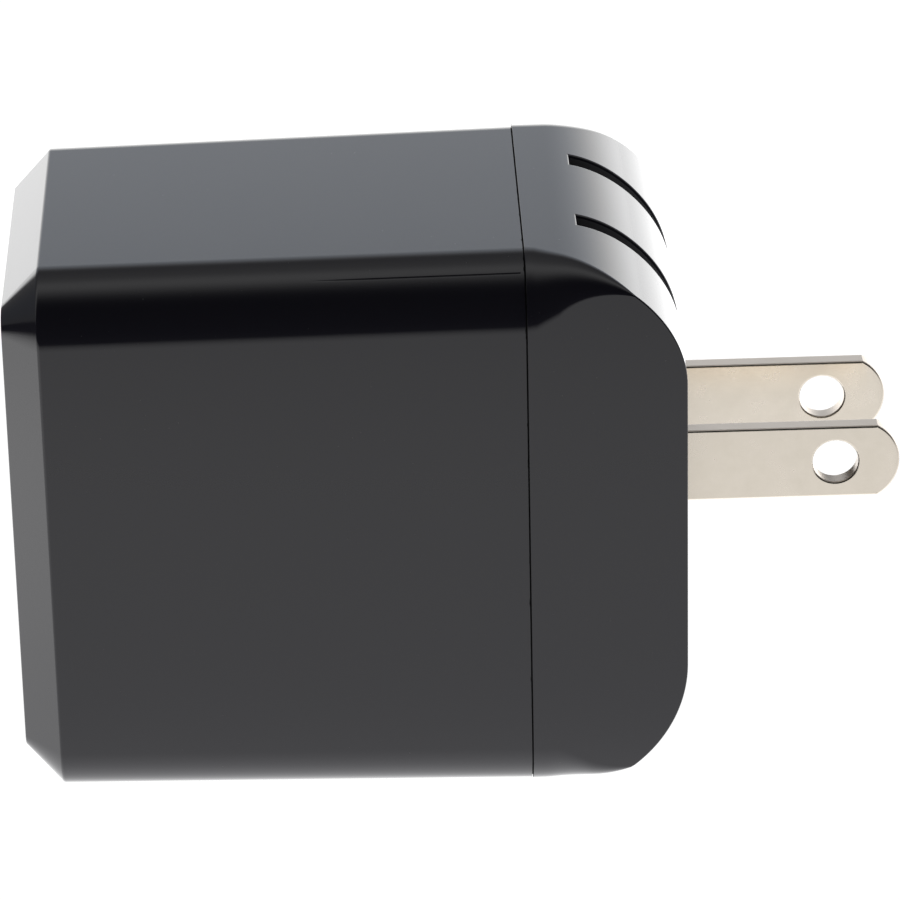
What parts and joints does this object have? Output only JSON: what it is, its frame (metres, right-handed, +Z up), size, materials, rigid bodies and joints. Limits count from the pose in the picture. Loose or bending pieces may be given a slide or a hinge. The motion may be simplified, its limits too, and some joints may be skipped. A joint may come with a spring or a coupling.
{
  "type": "usb wall charger",
  "caption": "Boxy black wall charger with stacked USB-A sockets in one end and flat blades at the other that fold up into slots.",
  "frame": {"origin": "centre of the plug face, midway between the two blades", "axes": "+X out of the plug face along the open blades, +Y across the blades, +Z up as plugged into a wall"},
  "size_m": [0.073, 0.0346, 0.0475],
  "materials": {
    "case": "polished black moulding",
    "blade_plate": "nickel-plated, fine grain along the blade",
    "carrier": "black glass-filled nylon",
    "retainer": "natural moulding",
    "screw": "zinc plated",
    "detent": "spring steel strip",
    "contact": "phosphor bronze strip",
    "wire_dark": "black insulation",
    "wire_light": "white insulation",
    "board": "green solder mask on glass laminate",
    "gold_pin": "gold flash",
    "port_shell": "nickel-plated sheet",
    "port_tongue": "black insulator",
    "ferrite": "dark sintered ferrite",
    "bobbin": "black phenolic",
    "copper": "enamelled copper wire",
    "tape": "yellow polyester tape",
    "bulk_can": "dark printed sleeve, bare end",
    "output_can": "blue sleeve, bare end",
    "resistor_body": "grey-blue lacquer",
    "surge_coat": "ochre epoxy",
    "safety_coat": "blue epoxy",
    "coil_dark": "wound ferrite drum",
    "coil_copper": "wound ferrite rod",
    "chip_body": "black epoxy package",
    "chip_capacitor": "fired chip body",
    "heat_plate": "mill finish",
    "film": "pale amber film"
  },
  "bodies": {
    "charger": {"main_housing": "case", "rear_cover": "case", "carrier_retainer": "retainer", "retainer_screws": "screw", "detent_spring": "detent", "contact_spring_left": "contact", "contact_spring_right": "contact", "lead_wire_left": "wire_dark", "lead_wire_right": "wire_light", "main_board": "board", "usb_board": "board", "board_link_pins": "gold_pin", "usb_contacts_upper": "gold_pin", "usb_contacts_lower": "gold_pin", "usb_shell_upper": "port_shell", "usb_shell_lower": "port_shell", "usb_tongue_upper": "port_tongue", "usb_tongue_lower": "port_tongue", "transformer_core": "ferrite", "transformer_bobbin": "bobbin", "transformer_windings": "copper", "transformer_tape": "tape", "bulk_capacitor_1": "bulk_can", "bulk_capacitor_2": "bulk_can", "output_capacitor_1": "output_can", "output_capacitor_2": "output_can", "output_capacitor_3": "output_can", "fuse_resistor": "resistor_body", "surge_disc": "surge_coat", "safety_capacitor": "safety_coat", "filter_inductor": "coil_dark", "output_inductor": "coil_copper", "bridge_rectifier": "chip_body", "power_transistor": "chip_body", "output_rectifier": "chip_body", "optocoupler": "chip_body", "control_chip": "chip_body", "chip_resistors": "chip_body", "chip_capacitors": "chip_capacitor", "heat_plate": "heat_plate", "insulation_sheet": "film"},
    "folding_blades": {"blade_left": "blade_plate", "blade_right": "blade_plate", "blade_carrier": "carrier"}
  },
  "joints": [
    {"name": "blade_fold", "type": "hinge", "parent": "charger", "child": "folding_blades", "pos_m": [-0.0046, 0, 0], "axis": [0, -1, 0], "range_deg": [0, 90]}
  ]
}
